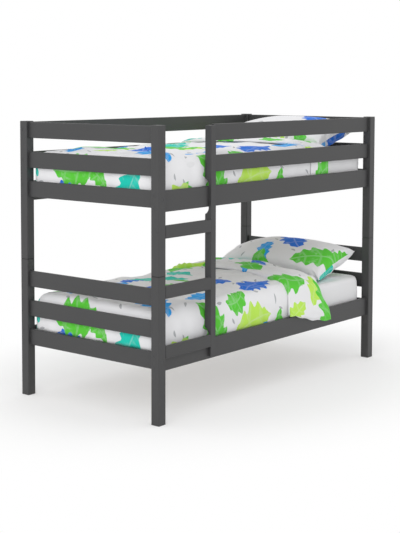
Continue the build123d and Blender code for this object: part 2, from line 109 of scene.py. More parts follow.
class Finish:
    # a material whose nodes are made by one method
    def __init__(self, name, **shader):
        self.material = bpy.data.materials.new(name)
        self.material.use_nodes = True
        self.tree = self.material.node_tree
        self.shader = self.tree.nodes["Principled BSDF"]
        for key, value in shader.items():
            self.feed(key, value)

    def node(self, kind, settings=None, sockets=(), output=0):
        made = self.tree.nodes.new(kind)
        for key, value in (settings or {}).items():
            if key == "stops":
                ramp = made.color_ramp
                while len(ramp.elements) < len(value):
                    ramp.elements.new(1)
                for element, (position, colour) in zip(ramp.elements, value):
                    element.position = position
                    element.color = (*colour, 1)
            elif key == "rampMode":
                made.color_ramp.interpolation = value
            else:
                setattr(made, key, value)
        pairs = sockets.items() if isinstance(sockets, dict) else enumerate(sockets)
        for key, value in pairs:
            self.join(made.inputs[key], value)
        return Flow(self, made.outputs[output])

    def join(self, socket, value):
        if isinstance(value, Flow):
            self.tree.links.new(value.socket, socket)
        elif socket.type == "RGBA" and len(value) == 3:
            socket.default_value = (*value, 1)
        else:
            socket.default_value = value

    def feed(self, name, value):
        self.join(self.shader.inputs[name.replace("_", " ")], value)

    def outputs(self, flow):
        # every output of the node that a flow comes from
        return [Flow(self, socket) for socket in flow.socket.node.outputs]

    def mix(self, factor, first, second):
        # inputs 6 and 7 of a mix node are its colours, and output 2 is the colour it gives
        return self.node("ShaderNodeMix", {"data_type": "RGBA", "clamp_factor": True},
                         {0: factor, 6: first, 7: second}, 2)

    def place(self, kind="Object"):
        return self.node("ShaderNodeTexCoord", output=kind)

    def turned(self, vector, scale, turn=0):
        return self.node("ShaderNodeMapping", {}, {"Vector": vector, "Scale": scale, "Rotation": (0, 0, turn)})

    def noise(self, vector, scale, detail=3, rough=0.5, warp=0):
        return self.node("ShaderNodeTexNoise", {}, {"Vector": vector, "Scale": scale, "Detail": detail,
                                                    "Roughness": rough, "Distortion": warp})

    def wave(self, vector, scale, bands, warp=0):
        return self.node("ShaderNodeTexWave", {"bands_direction": bands},
                         {"Vector": vector, "Scale": scale, "Distortion": warp})

    def bump(self, height, strength, distance, under=None):
        sockets = {"Height": height, "Strength": strength, "Distance": distance}
        if under:
            sockets["Normal"] = under
        return self.node("ShaderNodeBump", {}, sockets)


grainScale = {"X": (1.3, 60, 60), "Y": (60, 1.3, 60), "Z": (60, 60, 1.3)}  # long along one axis
# the joint line and its dark colour are painted shadow in the gap where a post's two halves meet
paint = {"colour": (0.041, 0.041, 0.042), "worn": (0.061, 0.061, 0.062), "wornShare": 0.4,
         "grainTone": 0.35, "cloudTone": 0.5, "cloudScale": 2.2, "rough": 0.44, "grainRough": 0.1,
         "cloudRough": 0.12, "grain": 0.25, "grainDepth": 0.0006, "stippleScale": 240, "stipple": 0.08,
         "stippleDepth": 0.0003, "joint": 0.735, "jointShadowLine": (0.0022, 0.0008), "jointShadowColour": (0.004, 0.004, 0.004)}


def paintedWood(name, axis, joint=None):
    # satin paint that follows a faint long grain under it
    finish = Finish(name, Specular_IOR_Level=0.4)
    place = finish.place()
    grain = finish.noise(finish.turned(place, grainScale[axis]), 1, 5, 0.6, 0.4)
    cloud = finish.noise(place, paint["cloudScale"], 2)
    stipple = finish.noise(place, paint["stippleScale"], 2)
    tone = (grain - 0.5) * paint["grainTone"] + (cloud - 0.5) * paint["cloudTone"] + paint["wornShare"]
    colour = finish.mix(tone, paint["colour"], paint["worn"])
    if joint:
        # painted shadow: the line where a post's two halves meet is darkened in the colour, for the shade in the gap
        # between them
        height = finish.node("ShaderNodeSeparateXYZ", {}, [place], "Z")
        line = (height - joint).size().step(*paint["jointShadowLine"])
        colour = finish.mix(line, colour, paint["jointShadowColour"])
    finish.feed("Base_Color", colour)
    finish.feed("Roughness", paint["rough"] + (cloud - 0.5) * paint["cloudRough"]
                + (grain - 0.5) * paint["grainRough"])
    under = finish.bump(grain, paint["grain"], paint["grainDepth"])
    finish.feed("Normal", finish.bump(stipple, paint["stipple"], paint["stippleDepth"], under))
    return finish.material


pine = {"light": (0.76, 0.69, 0.58), "dark": (0.62, 0.52, 0.40)}
beech = {"light": (0.6, 0.36, 0.2), "dark": (0.45, 0.26, 0.13)}
planed = {"rough": 0.6, "fibreRough": 0.2, "rings": (0.42, 0.62), "ringTone": 0.75, "fibreTone": 0.5,
          "fibre": 0.2, "fibreDepth": 0.0005}


def bareWood(name, axis, tones):
    # pale boards with long growth rings
    finish = Finish(name, Specular_IOR_Level=0.3)
    stretched = finish.turned(finish.place(), grainScale[axis])
    rings = finish.noise(stretched, 0.9, 4, 0.55, 1.2)
    fibres = finish.noise(stretched, 6, 3, 0.6)
    tone = rings.step(*planed["rings"]) * planed["ringTone"] + (fibres - 0.5) * planed["fibreTone"]
    finish.feed("Base_Color", finish.mix(tone, tones["light"], tones["dark"]))
    finish.feed("Roughness", planed["rough"] + (fibres - 0.5) * planed["fibreRough"])
    finish.feed("Normal", finish.bump(fibres, planed["fibre"], planed["fibreDepth"]))
    return finish.material


# cloud: scale, detail and roughness of the noise; rough: least, and how much the cloud adds
zinc = {"dark": (0.42, 0.43, 0.45), "light": (0.62, 0.63, 0.66), "cloud": (90, 4, 0.6), "rough": (0.3, 0.2)}
coat = {"dark": (0.036, 0.036, 0.037), "light": (0.052, 0.052, 0.053), "cloud": (120, 3, 0.5), "rough": (0.38, 0.15)}


def cloudedSteel(name, values, **shader):
    # steel whose tone and roughness drift together; heads that show are coated in the colour of the paint
    finish = Finish(name, **shader)
    cloud = finish.noise(finish.place(), *values["cloud"])
    finish.feed("Base_Color", finish.mix(cloud, values["dark"], values["light"]))
    least, added = values["rough"]
    finish.feed("Roughness", least + cloud * added)
    return finish.material


tape = {"dark": (0.62, 0.60, 0.55), "light": (0.78, 0.76, 0.70), "ribScale": 160, "ribWarp": 0.4, "rough": 0.8,
        "ribRough": 0.1, "rib": 0.5, "ribDepth": 0.0005}


def webbingTape():
    # woven tape, ribs across it
    finish = Finish("webbingTape", Sheen_Weight=0.3)
    ribs = finish.wave(finish.place(), tape["ribScale"], "X", tape["ribWarp"])
    finish.feed("Base_Color", finish.mix(ribs, tape["dark"], tape["light"]))
    finish.feed("Roughness", tape["rough"] + ribs * tape["ribRough"])
    finish.feed("Normal", finish.bump(ribs, tape["rib"], tape["ribDepth"]))
    return finish.material


def dressFrame():
    # each node takes the first finish that has one of its words
    painted = {axis: paintedWood(f"greyPaint{axis}", axis) for axis in grainScale}
    posts = paintedWood("greyPaintPost", "Z", paint["joint"])
    slats, cleats = bareWood("pineSlat", "Y", pine), bareWood("pineCleat", "X", pine)
    pins = bareWood("beechPin", "Z", beech)
    plated = cloudedSteel("zincSteel", zinc, Metallic=1.0)
    coated = cloudedSteel("coatedSteel", coat, Specular_IOR_Level=0.5)
    choices = ((("post_front", "post_back"), posts),
               (("ladder_stile",), painted["Z"]),
               (("end_rail_screws", "guard_rail_screws", "side_rail_bolts", "rung_screws"), coated),
               (("end_rail",), painted["Y"]),
               (("barrel_nuts", "screws"), plated),
               (("guard_rail", "side_rail", "ladder_rung"), painted["X"]),
               (("webbing",), webbingTape()),
               (("slats",), slats),
               (("cleat",), cleats),
               (("post_joint_pins",), pins))
    for name, node in nodes.items():
        found = [finish for words, finish in choices if any(word in name for word in words)]
        if found:
            for slot in node.material_slots:
                slot.material = found[0]


dressFrame()
print("timber and steel finished")


cotton = {"white": (0.80, 0.80, 0.815), "sheet": (0.77, 0.77, 0.78), "sheetShade": (0.73, 0.73, 0.745),
          "sheen": 0.06, "weaveScale": 1400 / 6, "weave": 0.12, "weaveDepth": 0.0002, "rumpleScale": 14,
          "rumple": 0.35, "rumpleDepth": 0.004}


def cottonCloth(name):
    # matt cloth: two fine threads crossed, over soft rumples; gives the finish and its place on the cloth
    finish = Finish(name, Sheen_Weight=cotton["sheen"], Sheen_Roughness=0.6, Specular_IOR_Level=0.2)
    vector = finish.place("UV")
    warp, weft = [finish.wave(vector, cotton["weaveScale"], bands) for bands in "XY"]
    rumples = finish.noise(vector, cotton["rumpleScale"], 4, 0.55, 0.6)
    under = finish.bump(rumples, cotton["rumple"], cotton["rumpleDepth"])
    finish.feed("Normal", finish.bump(warp * weft, cotton["weave"], cotton["weaveDepth"], under))
    return finish, vector


def plainCotton():
    finish, vector = cottonCloth("sheetCotton")
    cloud = finish.noise(vector, 5, 3)
    finish.feed("Base_Color", finish.mix(cloud, cotton["sheet"], cotton["sheetShade"]))
    finish.feed("Roughness", 0.82 + cloud * 0.1)
    return finish.material


printTones = {"green": (0.10, 0.58, 0.04), "lime": (0.50, 0.80, 0.10), "blue": (0.002, 0.15, 0.68),
              "sky": (0.02, 0.35, 0.82), "teal": (0.01, 0.57, 0.45), "grey": (0.30, 0.31, 0.33)}
# chance at which each leaf colour starts
leafStops = ((0.0, "green"), (0.22, "blue"), (0.42, "teal"), (0.58, "green"), (0.70, "lime"), (0.82, "sky"))
# length and width are shares of a cell, turn is that of the whole grid, kept is the share of cells with a mark
marks = {"large": {"perMetre": 2.9, "length": 0.50, "width": 0.28, "turn": 0.35, "kept": 0.94},
         "small": {"perMetre": 4.3, "length": 0.47, "width": 0.24, "turn": 1.1, "kept": 0.55},
         "seeds": {"perMetre": 9.5, "length": 0.20, "width": 0.075, "turn": 0.5, "kept": 0.40}}
leaf = {"teethAcross": 3.2, "teethAlong": 16, "teethDepth": 0.15, "belly": 0.82, "brushed": 0.24,
        "ribsAcross": 2.4, "ribsAlong": 12, "ribPale": 0.30, "midribPale": 0.45}
mark = {"loose": 0.5, "bend": 1.2, "fullTurn": 6.283, "keptEdge": 0.01}


def motif(finish, vector, values):
    # a mark in each cell of a loose grid: place along it, place across it, its mask and its chance of a colour
    scaled = finish.turned(vector, (values["perMetre"],) * 3, values["turn"])
    sockets = {"Vector": scaled, "Scale": 1.0, "Randomness": mark["loose"]}
    cell = finish.node("ShaderNodeTexVoronoi", {"voronoi_dimensions": "2D"}, sockets, "Color")
    centre = Flow(finish, cell.socket.node.outputs["Position"])
    heading, colour, keep = finish.outputs(finish.node("ShaderNodeSeparateColor", {}, [cell]))
    offset = finish.node("ShaderNodeVectorMath", {"operation": "SUBTRACT"}, [scaled, centre])
    x, y = finish.outputs(finish.node("ShaderNodeSeparateXYZ", {}, [offset]))[:2]
    angle = heading * mark["fullTurn"]
    cosine, sine = angle.math("COSINE"), angle.math("SINE")
    run = (x * cosine + y * sine) / values["length"]
    side = (y * cosine - x * sine) / values["width"]
    bent = side + run * run * (colour - 0.5) * mark["bend"]
    return run, bent, keep.step(values["kept"], values["kept"] - mark["keptEdge"]), colour


def paintedLeaf(finish, vector, values, brush, wash):
    # toothed leaf with a pale midrib and side ribs, its paint washed unevenly: (mask, colour)
    run, side, kept, chance = motif(finish, vector, values)
    teeth = (side.size() * leaf["teethAcross"] - run * leaf["teethAlong"]).math("SINE") * leaf["teethDepth"]
    outline = (1 - run * run) * (leaf["belly"] + teeth) - side.size() + (brush - 0.5) * leaf["brushed"]
    inside = outline.step(0.0, 0.05) * run.size().step(1.0, 0.96) * kept
    waves = (side.size() * leaf["ribsAcross"] - run * leaf["ribsAlong"]).math("SINE")
    ribs = waves.step(0.80, 0.98) * leaf["ribPale"]
    midrib = side.size().step(0.07, 0.02) * leaf["midribPale"]
    stops = [(start, printTones[name]) for start, name in leafStops]
    tone = finish.node("ShaderNodeValToRGB", {"stops": stops, "rampMode": "CONSTANT"}, [chance])
    pale = finish.mix(0.5, tone, cotton["white"])
    washed = finish.mix((wash.step(0.48, 0.76) * 0.5).high(ribs.high(midrib)), tone, pale)
    return inside, finish.mix(brush.step(0.52, 0.66) * 0.5, washed, tone)


def printedCotton():
    # white cloth with loose painted leaves in two sizes and small grey seeds
    finish, vector = cottonCloth("printedCotton")
    brush = finish.noise(vector, 34, 4, 0.6)
    wash = finish.noise(vector, 16, 3, 0.6, 1.0)
    run, side, kept, _ = motif(finish, vector, marks["seeds"])
    seed = (1 - run * run) * 0.9 - side.size() + (brush - 0.5) * 0.4
    ground = finish.mix(seed.step(0.0, 0.12) * kept * 0.72, cotton["white"], printTones["grey"])
    for kind in ("small", "large"):
        inside, colour = paintedLeaf(finish, vector, marks[kind], brush, wash)
        ground = finish.mix(inside, ground, colour)
    finish.feed("Base_Color", ground)
    finish.feed("Roughness", 0.8 + brush * 0.12)
    return finish.material


cloth = {"sheet": plainCotton(), "print": printedCotton()}
print("cloth finished")


def gridPiece(name, points, flat, material):
    # points[row, column] joined into quads; flat gives each point its place on the unrolled cloth, in metres
    rows, columns = points.shape[:2]
    index = np.arange(rows * columns).reshape(rows, columns)
    faces = np.stack([index[:-1, :-1], index[:-1, 1:], index[1:, 1:], index[1:, :-1]], -1).reshape(-1, 4)
    mesh = bpy.data.meshes.new(name)
    mesh.from_pydata(points.reshape(-1, 3), [], faces)
    layer = mesh.uv_layers.new(name="cloth")
    layer.data.foreach_set("uv", flat.reshape(-1, 2)[faces.ravel()].ravel().astype(np.float32))
    work = bmesh.new()
    work.from_mesh(mesh)
    bmesh.ops.remove_doubles(work, verts=work.verts, dist=0.00002)
    bmesh.ops.dissolve_degenerate(work, edges=work.edges, dist=0.00001)
    bmesh.ops.recalc_face_normals(work, faces=work.faces)
    work.to_mesh(mesh)
    work.free()
    mesh.shade_smooth()
    mesh.materials.append(material)
    piece = bpy.data.objects.new(name, mesh)
    scene.collection.objects.link(piece)
    return piece


def rumple(x, y, length, seed, terms=9, heading=None, spread=1.2):
    # sum of cosine waves of about one length, in seeded directions; about -1 to 1
    chance = np.random.default_rng(seed)
    if heading is None:
        turns = chance.uniform(0, math.pi, terms)
    else:
        turns = heading + chance.uniform(-spread, spread, terms)
    waves = 2 * math.pi / (length * chance.uniform(0.7, 1.5, terms))
    phase = chance.uniform(0, 2 * math.pi, terms)
    field = np.cos((x[..., None] * np.cos(turns) + y[..., None] * np.sin(turns)) * waves + phase)
    return field.sum(-1) / math.sqrt(terms) / 1.2


def eased(value, start, end):
    # 0 to 1 between start and end: the share of the way squared, times three less twice the share
    share = np.clip((value - start) / (end - start), 0, 1)
    return share * share * (3 - 2 * share)


def gridNormals(points):
    # cross product of the two grid directions, of length one
    across = np.gradient(points, axis=1)
    down = np.gradient(points, axis=0)
    normal = np.cross(across, down)
    return normal / np.maximum(np.linalg.norm(normal, axis=-1, keepdims=True), 1e-9)


def runLength(points):
    # distance along a row of points, from its first
    return np.concatenate([[0], np.cumsum(np.linalg.norm(np.diff(points, axis=0), axis=1))])


def curveWeights(knots, count):
    # Catmull-Rom weights that carry a row of knots to a row of evenly spaced points
    place = np.linspace(0, knots - 1, count)
    start = np.minimum(place.astype(int), knots - 2)
    t = place - start
    basis = np.stack([-t + 2 * t**2 - t**3, 2 - 5 * t**2 + 3 * t**3, t + 4 * t**2 - 3 * t**3, -t**2 + t**3], -1) / 2
    weights = np.zeros((count, knots + 2))
    for step in range(4):
        weights[np.arange(count), start + step] += basis[:, step]
    # the knots beyond the ends carry on in a straight line
    inner = weights[:, 1:-1].copy()
    inner[:, 0] += 2 * weights[:, 0]
    inner[:, 1] -= weights[:, 0]
    inner[:, -1] += 2 * weights[:, -1]
    inner[:, -2] -= weights[:, -1]
    return inner


def roundedPlan(halfX, halfY, radius, count):
    # quarter circles about four centres, joined by straight runs: points at even steps, and their outward directions
    turns = np.radians(np.linspace(0, 90, 24))
    corners = ((1, -1, -90), (-1, -1, 180), (-1, 1, 90), (1, 1, 0))
    firstPlace, firstFacing = np.array([[halfX, 0.0]]), np.array([[1.0, 0.0]])
    places, facings = [firstPlace], [firstFacing]
    for sx, sy, first in corners:
        angle = np.radians(first + 90) - turns
        centre = np.array([sx * (halfX - radius), sy * (halfY - radius)])
        facing = np.stack([np.cos(angle), np.sin(angle)], -1)
        places.append(centre + radius * facing)
        facings.append(facing)
    place, facing = np.concatenate([*places, firstPlace]), np.concatenate([*facings, firstFacing])
    run = runLength(place)
    wanted = np.linspace(0, run[-1], count)
    found = np.stack([np.interp(wanted, run, place[:, k]) for k in (0, 1)], -1)
    outward = np.stack([np.interp(wanted, run, facing[:, k]) for k in (0, 1)], -1)
    return found, outward / np.linalg.norm(outward, axis=-1, keepdims=True)


def blockRows(outline, outward, spine, base, spring, crown, radius, shoulderRows, topRows):
    # upright side, then a shoulder that comes in by one less the cosine and rises to the crown by the sine, then
    # rows on the crown that close evenly on the spine
    quarter = math.pi / 2
    sideRows, shoulderRun = 7, 0.57
    rows, unrolled = [], []
    for height in np.linspace(base, spring, sideRows)[:-1]:
        rows.append(np.column_stack([outline, np.full(len(outline), height)]))
        unrolled.append(outline + outward * (spring - height + radius * shoulderRun))
    for turn in np.linspace(0, quarter, shoulderRows):
        plan = outline - outward * radius * (1 - math.cos(turn))
        rows.append(np.column_stack([plan, spring + (crown(plan) - spring) * math.sin(turn)]))
        unrolled.append(outline - outward * radius * (1 - (quarter - turn)))
    edge = rows[-1][:, :2]
    for share in np.linspace(0, 1, topRows)[1:]:
        plan = edge + (spine - edge) * share
        rows.append(np.column_stack([plan, crown(plan)]))
        unrolled.append(plan)
    return np.array(rows), np.array(unrolled)


tiers = {"lower": 0.3503, "upper": 1.1338}  # height of each mattress's underside
# underside: rows of (share of the way in to the spine, height, inset)
mattress = {"halfX": 0.9472, "halfY": 0.4432, "height": 0.15, "corner": 0.092, "edge": 0.030, "columns": 301,
            "spine": 0.5, "base": 0.012, "shoulderRows": 9, "topRows": 26,
            "underside": ((1, 0, 0), (0.35, 0, 0), (0, 0, 0.010), (0, 0.003, 0.004)),
            "wrinkle": 0.0022, "wrinkleX": (0.80, 0.93), "wrinkleY": (0.30, 0.42), "wrinkleCentre": 0.85,
            "wrinklesRound": 34, "wrinklesUp": 30, "soft": 0.0012, "softLength": 0.16, "dip": 0.0015,
            "dipLength": 0.3, "level": 0.0005}


def mattressTop(tier):
    return tiers[tier] + mattress["height"]


def makeMattress(tier):
    # foam block under a fitted sheet: its side moves along the normals by cosines of the turn about each corner
    # and by soft waves, and its top sinks by a small dip less a broad wave
    rest, top = tiers[tier], mattressTop(tier)
    outline, outward = roundedPlan(mattress["halfX"], mattress["halfY"], mattress["corner"], mattress["columns"])
    spine = np.column_stack([np.clip(outline[:, 0], -mattress["spine"], mattress["spine"]), np.zeros(len(outline))])
    points, flat = blockRows(outline, outward, spine, rest + mattress["base"], top - mattress["edge"],
                             lambda plan: np.full(len(plan), top), mattress["edge"], mattress["shoulderRows"],
                             mattress["topRows"])
    under = np.array([np.column_stack([outline + (spine - outline) * share - outward * inset,
                                       np.full(len(outline), rest + height)])
                      for share, height, inset in mattress["underside"]])
    points, flat = np.concatenate([under, points]), np.concatenate([under[..., :2], flat])
    x, y, z = points[..., 0], points[..., 1], points[..., 2]
    corner = eased(np.abs(x), *mattress["wrinkleX"]) * eased(np.abs(y), *mattress["wrinkleY"])
    side = eased(z, rest + 0.005, rest + 0.04) * eased(z, top + 0.001, top - 0.02)
    turn = np.arctan2(y, x - np.sign(x) * mattress["wrinkleCentre"])
    waves = np.cos(turn * mattress["wrinklesRound"] + z * mattress["wrinklesUp"])
    drawn = waves * corner * side * mattress["wrinkle"]
    soft = rumple(x + y, z, mattress["softLength"], 5) * mattress["soft"] * side
    normal = gridNormals(points)
    facing = np.sign((normal[..., :2] * points[..., :2]).sum(-1, keepdims=True))
    points = points + normal * facing * (drawn + soft - mattress["soft"])[..., None] * side[..., None]
    sunk = mattress["dip"] - rumple(x, y, mattress["dipLength"], 8) * mattress["soft"]
    points[..., 2] -= np.where(z >= top - mattress["level"], sunk, 0)
    piece = gridPiece(f"{tier}Mattress", points, flat, cloth["sheet"])
    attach(piece, f"{tier}_bedding")
    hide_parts(f"{tier}_mattress")


duvet = {"halfX": 0.9540, "halfY": 0.4498, "corner": 0.056, "end": 0.47, "shoulder": 0.060, "columns": 761,
         "shoulderRows": 12, "topRows": 44, "spine": -0.56, "hem": 0.145, "spring": 0.055, "wall": 0.005,
         "crown": 0.34, "lumps": (0.007, 0.004), "pulls": 0.004, "tuck": 0.0032, "drape": 0.0030, "deepest": 0.007,
         "loft": {"lower": 0.071, "upper": 0.038}, "seed": {"lower": 21, "upper": 42}}


def duvetTop(tier, plan):
    # height above the mattress: the loft less a power of the distance from the middle, lower at the foot and a
    # little lower midway, plus waves in two lengths and slanting pulls
    x, y = plan[..., 0], plan[..., 1]
    seed = duvet["seed"][tier]
    run = 0.84 + 0.16 * eased(x, -0.93, -0.70) - 0.06 * eased(x, -0.6, -0.2) * eased(x, 0.3, -0.1)
    crown = duvet["loft"][tier] * run * (1 - duvet["crown"] * (np.abs(y) / 0.45) ** 2.4)
    broad, small = duvet["lumps"]
    lumps = rumple(x, y, 0.34, seed) * broad + rumple(x, y, 0.17, seed + 1) * small
    pulls = rumple(x, y, 0.10, seed + 2, 8, 1.2, 0.5) * duvet["pulls"] * (0.4 + 0.6 * eased(x, -0.2, 0.3))
    return crown + lumps + pulls


def makeDuvet(tier):
    # cover round the mattress, open at the fold: its sides are drawn in by a tuck less waves along them
    top, seed = mattressTop(tier), duvet["seed"][tier]
    outline, outward = roundedPlan(duvet["halfX"], duvet["halfY"], duvet["corner"], duvet["columns"])
    keep = outline[:, 0] < duvet["end"]
    order = np.roll(np.arange(len(outline)), -np.argmax(keep & ~np.roll(keep, 1)))
    order = order[keep[order]]
    outline, outward = outline[order], outward[order]
    spine = np.column_stack([np.maximum(outline[:, 0], duvet["spine"]), np.zeros(len(outline))])
    points, flat = blockRows(outline, outward, spine, top - duvet["hem"], top - duvet["spring"],
                             lambda plan: top + duvetTop(tier, plan), duvet["shoulder"], duvet["shoulderRows"],
                             duvet["topRows"])
    x, y, z = points[..., 0], points[..., 1], points[..., 2]
    side = eased(z, top + 0.03, top - 0.05)
    run = np.where(np.abs(x) > 0.93, y, x)
    drape = rumple(run, z * 0.5, 0.12, seed + 4, 8, 0.0, 0.35) * side
    inward = duvet["tuck"] - duvet["drape"] * drape
    points[..., :2] -= outward[None] * (np.clip(inward, 0, duvet["deepest"]) * side)[..., None]
    piece = gridPiece(f"{tier}Duvet", points, flat, cloth["print"])
    wall = piece.modifiers.new("wall", "SOLIDIFY")
    wall.thickness = duvet["wall"]
    wall.offset = -1
    return piece


# loop: points at the hem, over the top, round the nose and back under; hem: (y, x) of the turned-back edge; edge: x
# and height of the hanging front edge; lumpy: the heights between which lumps begin; tucked and hanging: knots from
# the front edge to the middle of the bed, (y, z) above the mattress
fold = {"nose": 0.542, "slant": 0.10, "sewn": 0.034, "rim": 0.013, "noseRim": 0.048, "rows": 150,
        "loop": (9, 52, 15, 12), "hangsFrom": -0.128, "hangs": 0.076, "scallop": 0.004, "scallops": 46,
        "floor": 0.004, "tipRows": 5, "tip": 0.12, "broad": 0.006, "creases": 0.005, "gathers": 0.0028,
        "sewnDepth": 0.0018, "sewnWidth": 0.006, "mapShift": 0.55,
        "print": {"lower": 2.12, "upper": 3.4}, "height": {"lower": 1, "upper": 0.62},
        "lumpy": {"lower": (0.02, 0.055), "upper": (0.0, 0.04)},
        "edgeX": (0.10, 0.135, 0.176, 0.25, 0.406, 0.556),
        "edgeZ": (0.42, 0.405, 0.374, 0.345, 0.310, 0.292),
        "hem": {"lower": ((-0.50, 0.122), (-0.47, 0.135), (-0.452, 0.152), (-0.27, 0.178), (-0.05, 0.222),
                          (0.15, 0.240), (0.44, 0.150), (0.5, 0.14)),
                "upper": ((-0.50, 0.360), (-0.455, 0.362), (-0.2, 0.325), (0.1, 0.262), (0.44, 0.205), (0.5, 0.20))},
        "tucked": {"outer": ((-0.4538, -0.140), (-0.4540, -0.112), (-0.4540, -0.085), (-0.4540, -0.055),
                             (-0.4525, -0.020), (-0.445, 0.022), (-0.417, 0.054), (-0.345, 0.079),
                             (-0.190, 0.095), (0.0, 0.101)),
                   "inner": ((-0.4485, -0.140), (-0.4485, -0.112), (-0.4485, -0.085), (-0.4485, -0.055),
                             (-0.4470, -0.025), (-0.436, 0.005), (-0.405, 0.028), (-0.338, 0.048),
                             (-0.185, 0.066), (0.0, 0.072))},
        "hanging": {"outer": ((-0.4880, -0.204), (-0.4890, -0.166), (-0.4880, -0.128), (-0.4800, -0.098),
                              (-0.4660, -0.050), (-0.452, 0.004), (-0.422, 0.046), (-0.348, 0.077),
                              (-0.190, 0.095), (0.0, 0.101)),
                    "inner": ((-0.4755, -0.204), (-0.4760, -0.166), (-0.4765, -0.128), (-0.4700, -0.1235),
                              (-0.4540, -0.1230), (-0.441, -0.020), (-0.408, 0.020), (-0.340, 0.046),
                              (-0.185, 0.066), (0.0, 0.072))}}


def acrossBed(tier, kind, side):
    # a curve through the front knots of one kind and the tucked ones mirrored behind, flatter on the upper bed
    behind = np.array(fold["tucked"][side])[:-1][::-1] * np.array([-1, 1])
    knots = np.vstack([np.array(fold[kind][side]), behind])
    knots[:, 1] = np.where(knots[:, 1] > 0, knots[:, 1] * fold["height"][tier], knots[:, 1])
    return curveWeights(len(knots), fold["rows"]) @ knots


def foldLoop():
    # round the fold: share of the run from hem to nose, the cosines that round the hem and the nose, and the
    # share of the thickness, which follows their sines
    hem, over, nose, back = fold["loop"]
    quarter = math.pi / 2
    hemTurn, noseTurn = np.linspace(-quarter, quarter, hem), np.linspace(quarter, -quarter, nose)
    there, again = np.linspace(0, 1, over + 2)[1:-1], np.linspace(1, 0, back + 2)[1:-1]
    run = np.concatenate([np.zeros(hem), there, np.ones(nose), again, [0]])
    hemRound = np.concatenate([np.cos(hemTurn), np.zeros(over + nose + back + 1)])
    noseRound = np.concatenate([np.zeros(hem + over), np.cos(noseTurn), np.zeros(back + 1)])
    depth = np.concatenate([(1 + np.sin(hemTurn)) / 2, np.ones(over), (1 + np.sin(noseTurn)) / 2, np.zeros(back + 1)])
    return run, hemRound, noseRound, depth


def makeFold(tier):
    # the duvet's end turned back on itself: x goes from hem to nose and back by the loop, and (y, z) lies between
    # an outer and an inner curve across the bed by the share of the thickness; the lower one spills over the rail
    top, seed = mattressTop(tier), duvet["seed"][tier] + 9
    spills = tier == "lower"
    outerLine, innerLine = (acrossBed(tier, "hanging" if spills else "tucked", side) for side in ("outer", "inner"))
    run, hemRound, noseRound, depth = foldLoop()
    if spills:
        # the nose slants back towards the front and grows thinner where the end hangs
        rise = np.clip((outerLine[:, 1] + 0.204) / 0.27, 0, 1)
        slant = fold["slant"] * rise * eased(outerLine[:, 0], 0.12, -0.28)
    else:
        rise, slant = np.ones(fold["rows"]), np.zeros(fold["rows"])
    hemY, hemX = np.array(fold["hem"][tier]).T
    start = (np.interp(outerLine[:, 0], hemY, hemX) + fold["rim"])[:, None]
    noseRim = fold["noseRim"] * (0.35 + 0.65 * rise)[:, None]
    stop = (fold["nose"] - slant)[:, None] - noseRim
    x = start + (stop - start) * run[None] - fold["rim"] * hemRound[None] + noseRim * noseRound[None]
    outer, inner = (np.repeat(line[:, None], x.shape[1], axis=1) for line in (outerLine, innerLine))
    if spills:
        # the front edge hangs lower towards the nose, in slow scallops
        edge = np.interp(x, fold["edgeX"], fold["edgeZ"]) - top + fold["scallop"] * np.cos(x * fold["scallops"])
        for part in (outer, inner):
            share = np.clip((fold["hangsFrom"] - part[..., 1]) / fold["hangs"], 0, 1)
            hangs = (part[..., 1] < fold["hangsFrom"]) & (part[..., 0] < 0)
            part[..., 1] = np.where(hangs, fold["hangsFrom"] + share * (edge - fold["hangsFrom"]), part[..., 1])
    # at the nose the underside comes down to the mattress
    sink = eased(x, stop - 0.10, stop)
    inner[..., 1] = inner[..., 1] * (1 - sink) + np.minimum(inner[..., 1], fold["floor"]) * sink
    # the loop thins out at the front and back edges
    row, last = np.arange(float(fold["rows"])), fold["rows"] - 1
    tip = eased(row, 0, fold["tipRows"]) * eased(row, last, last - fold["tipRows"])
    middle = (inner + outer) / 2
    section = inner + (outer - inner) * depth[None, :, None]
    section = middle + (section - middle) * (fold["tip"] + (1 - fold["tip"]) * tip)[:, None, None]
    points = np.concatenate([x[..., None], section], -1)
    points[..., 2] += top
    across = (runLength(acrossBed(tier, "tucked", "outer")) - fold["mapShift"])[:, None]
    lengthwise = runLength(points[fold["rows"] // 2][:, ::2])[None]
    flat = np.stack(np.broadcast_arrays(fold["print"][tier] + lengthwise, across), -1)
    broad = rumple(x, points[..., 1] + points[..., 2], 0.22, seed) * fold["broad"]
    creases = rumple(x, across, 0.10, seed + 1, 8, 0.35, 0.5) * fold["creases"]
    gathers = rumple(x * 0.25, across, 0.040, seed + 3, 7, 1.57, 0.25) * np.exp((start - x) / 0.05)
    sewn = np.exp(-(((x - start - fold["sewn"]) / fold["sewnWidth"]) ** 2)) * fold["sewnDepth"]
    lumps = broad + creases + gathers * fold["gathers"] - sewn
    points[..., 2] += lumps * depth[None] ** 2 * eased(section[..., 1], *fold["lumpy"][tier]) * tip[:, None]
    points[:, -1] = points[:, 0]
    return gridPiece(f"{tier}DuvetFold", points, flat, cloth["print"])


def joined(pieces, name):
    # several meshes as one piece, their modifiers applied
    for piece in pieces:
        for modifier in list(piece.modifiers):
            bpy.context.view_layer.objects.active = piece
            bpy.ops.object.modifier_apply(modifier=modifier.name)
    bpy.ops.object.select_all(action="DESELECT")
    for piece in pieces:
        piece.select_set(True)
    bpy.context.view_layer.objects.active = pieces[0]
    bpy.ops.object.join()
    pieces[0].name = name
    return pieces[0]


